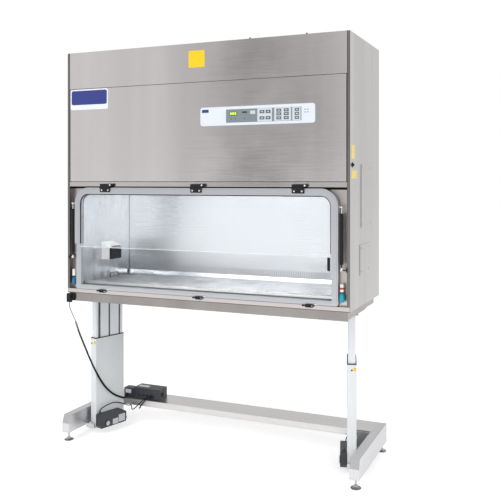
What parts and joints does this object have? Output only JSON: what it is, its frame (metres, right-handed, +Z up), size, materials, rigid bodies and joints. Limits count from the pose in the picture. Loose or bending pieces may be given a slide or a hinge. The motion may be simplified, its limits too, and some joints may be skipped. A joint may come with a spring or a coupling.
{
  "type": "biosafety cabinet",
  "caption": "Wide stainless biosafety cabinet with a hinged glass window over an open aperture, on a height-adjustable stand with flat lift columns.",
  "frame": {"origin": "on the floor under the middle of the whole part", "axes": "+X to the user's right, +Y to the rear, +Z up; the window faces -Y"},
  "size_m": [2.056, 0.7315, 2.6365],
  "materials": {
    "stainless": "fine brushed stainless sheet",
    "side_sheet": "fine brushed stainless sheet",
    "inner_sheet": "polished stainless sheet",
    "stand_paint": "light grey powder coat",
    "stand_steel": "brushed stainless stand beam",
    "anodised": "light anodised extrusion",
    "satin_bar": "satin anodised bar",
    "window_glass": "clear safety glass",
    "gasket_rubber": "matt black rubber",
    "black_plastic": "fine grained black plastic",
    "white_plastic": "white moulded plastic",
    "keypad_film": "smooth film over key pads",
    "black_steel": "gloss black paint",
    "bright_steel": "polished steel",
    "galvanised": "galvanised sheet",
    "filter_paper": "pleated white paper",
    "lamp_tube": "white coated tube",
    "knob_blue": "blue moulded plastic",
    "knob_teal": "teal moulded plastic",
    "cord_jacket": "black cable jacket"
  },
  "bodies": {
    "base": {"foot_beam_left": "stand_steel", "foot_beam_right": "stand_steel", "stretcher": "stand_steel", "outer_columns": "stand_paint", "column_caps": "black_plastic", "motor_housings": "black_plastic", "control_box": "black_plastic", "motor_cables": "cord_jacket", "handset_cord": "cord_jacket"},
    "cabinet": {"inner_columns": "anodised", "support_frame": "stainless", "base_pan": "stainless", "side_panel_left": "side_sheet", "side_panel_right": "side_sheet", "side_covers": "side_sheet", "back_panel": "stainless", "roof_panel": "stainless", "upper_fascia": "stainless", "trim_rail": "stainless", "jamb_plate": "inner_sheet", "chamber_walls": "inner_sheet", "filter_deck": "inner_sheet", "rear_baffle": "inner_sheet", "front_grille": "inner_sheet", "diffuser": "inner_sheet", "filters": "filter_paper", "fan_housing": "galvanised", "lamps": "lamp_tube", "hinge_brackets": "black_plastic", "tap_bodies": "white_plastic", "jamb_seal": "gasket_rubber", "socket_boxes": "white_plastic", "handset": "black_plastic"},
    "impeller": {"fan_impeller": "galvanised"},
    "tray": {"work_tray": "inner_sheet", "tray_handles": "inner_sheet"},
    "service_panel": {"service_panel": "stainless", "control_panel": "keypad_film"},
    "window": {"window_frame": "satin_bar", "window_glass": "window_glass", "window_gasket": "gasket_rubber", "hinge_leaves": "black_plastic", "lower_frame": "satin_bar", "latch_bases": "black_plastic"},
    "latch_left": {"latch_left": "black_plastic"},
    "latch_middle": {"latch_middle": "black_plastic"},
    "latch_right": {"latch_right": "black_plastic"},
    "strut_cylinder_left": {"strut_cylinder_left": "black_steel"},
    "strut_cylinder_right": {"strut_cylinder_right": "black_steel"},
    "strut_rod_left": {"strut_rod_left": "bright_steel"},
    "strut_rod_right": {"strut_rod_right": "bright_steel"},
    "tap_knob_left": {"tap_knob_left": "knob_blue"},
    "tap_knob_right": {"tap_knob_right": "knob_teal"},
    "socket_lid_left": {"socket_lid_left": "black_plastic"},
    "socket_lid_right": {"socket_lid_right": "black_plastic"},
    "rocker": {"handset_rocker": "black_plastic"},
    "foot_front_left": {"levelling_foot_front_left": "black_steel"},
    "foot_front_right": {"levelling_foot_front_right": "black_steel"},
    "foot_rear_left": {"levelling_foot_rear_left": "black_steel"},
    "foot_rear_right": {"levelling_foot_rear_right": "black_steel"}
  },
  "joints": [
    {"name": "lift", "type": "slide", "parent": "base", "child": "cabinet", "axis": [0, 0, 1], "range_m": [-0.275, 0.075], "deforming": ["handset_cord"]},
    {"name": "foot_front_left_turn", "type": "hinge", "parent": "base", "child": "foot_front_left", "pos_m": [-0.997, -0.29525, 0], "axis": [0, 0, 1], "continuous": true},
    {"name": "foot_front_right_turn", "type": "hinge", "parent": "base", "child": "foot_front_right", "pos_m": [0.997, -0.29525, 0], "axis": [0, 0, 1], "continuous": true},
    {"name": "foot_rear_left_turn", "type": "hinge", "parent": "base", "child": "foot_rear_left", "pos_m": [-0.997, 0.33475, 0], "axis": [0, 0, 1], "continuous": true},
    {"name": "foot_rear_right_turn", "type": "hinge", "parent": "base", "child": "foot_rear_right", "pos_m": [0.997, 0.33475, 0], "axis": [0, 0, 1], "continuous": true},
    {"name": "impeller_spin", "type": "hinge", "parent": "cabinet", "child": "impeller", "pos_m": [0, 0.03775, 2.1665], "axis": [1, 0, 0], "continuous": true},
    {"name": "tray_lift", "type": "slide", "parent": "cabinet", "child": "tray", "axis": [0, 0, 1], "range_m": [0, 0.08]},
    {"name": "service_panel_hinge", "type": "hinge", "parent": "cabinet", "child": "service_panel", "pos_m": [0, -0.33275, 2.358], "axis": [-1, 0, 0], "range_deg": [0, 80]},
    {"name": "window_hinge", "type": "hinge", "parent": "cabinet", "child": "window", "pos_m": [0, -0.35725, 1.7065], "axis": [-1, 0, 0], "range_deg": [0, 80]},
    {"name": "latch_left_turn", "type": "hinge", "parent": "window", "child": "latch_left", "pos_m": [-0.675, -0.34525, 1.031], "axis": [0, -1, 0], "range_deg": [0, 90]},
    {"name": "latch_middle_turn", "type": "hinge", "parent": "window", "child": "latch_middle", "pos_m": [0.034, -0.34525, 1.031], "axis": [0, -1, 0], "range_deg": [0, 90]},
    {"name": "latch_right_turn", "type": "hinge", "parent": "window", "child": "latch_right", "pos_m": [0.751, -0.34525, 1.031], "axis": [0, -1, 0], "range_deg": [0, 90]},
    {"name": "strut_swing_left", "type": "hinge", "parent": "cabinet", "child": "strut_cylinder_left", "pos_m": [-0.927, -0.34325, 1.2445], "axis": [1, 0, 0], "range_deg": [0, 15]},
    {"name": "strut_slide_left", "type": "slide", "parent": "strut_cylinder_left", "child": "strut_rod_left", "axis": [0, 0, 1], "range_m": [0, 0.09]},
    {"name": "tap_turn_left", "type": "hinge", "parent": "cabinet", "child": "tap_knob_left", "pos_m": [-0.926, -0.33325, 1.0835], "axis": [0, 0, 1], "range_deg": [0, 270]},
    {"name": "strut_swing_right", "type": "hinge", "parent": "cabinet", "child": "strut_cylinder_right", "pos_m": [0.927, -0.34325, 1.2445], "axis": [1, 0, 0], "range_deg": [0, 15]},
    {"name": "strut_slide_right", "type": "slide", "parent": "strut_cylinder_right", "child": "strut_rod_right", "axis": [0, 0, 1], "range_m": [0, 0.09]},
    {"name": "tap_turn_right", "type": "hinge", "parent": "cabinet", "child": "tap_knob_right", "pos_m": [0.926, -0.33325, 1.0835], "axis": [0, 0, 1], "range_deg": [0, 270]},
    {"name": "socket_lid_left_flip", "type": "hinge", "parent": "cabinet", "child": "socket_lid_left", "pos_m": [-0.831, 0.01275, 1.29], "axis": [0, -1, 0], "range_deg": [0, 110]},
    {"name": "socket_lid_right_flip", "type": "hinge", "parent": "cabinet", "child": "socket_lid_right", "pos_m": [0.831, -0.21125, 1.3125], "axis": [0, 1, 0], "range_deg": [0, 110]},
    {"name": "rocker_press", "type": "hinge", "parent": "cabinet", "child": "rocker", "pos_m": [-0.948, -0.35925, 0.9735], "axis": [1, 0, 0], "range_deg": [-4, 4], "stiffness_Nm_per_rad": 0.05}
  ],
  "couplings": [
    {"joint": "strut_swing_left", "follows": "window_hinge", "ratio": 0.18232},
    {"joint": "strut_slide_left", "follows": "window_hinge", "m_per_rad": 0.060759},
    {"joint": "strut_swing_right", "follows": "window_hinge", "ratio": 0.18232},
    {"joint": "strut_slide_right", "follows": "window_hinge", "m_per_rad": 0.060759}
  ]
}
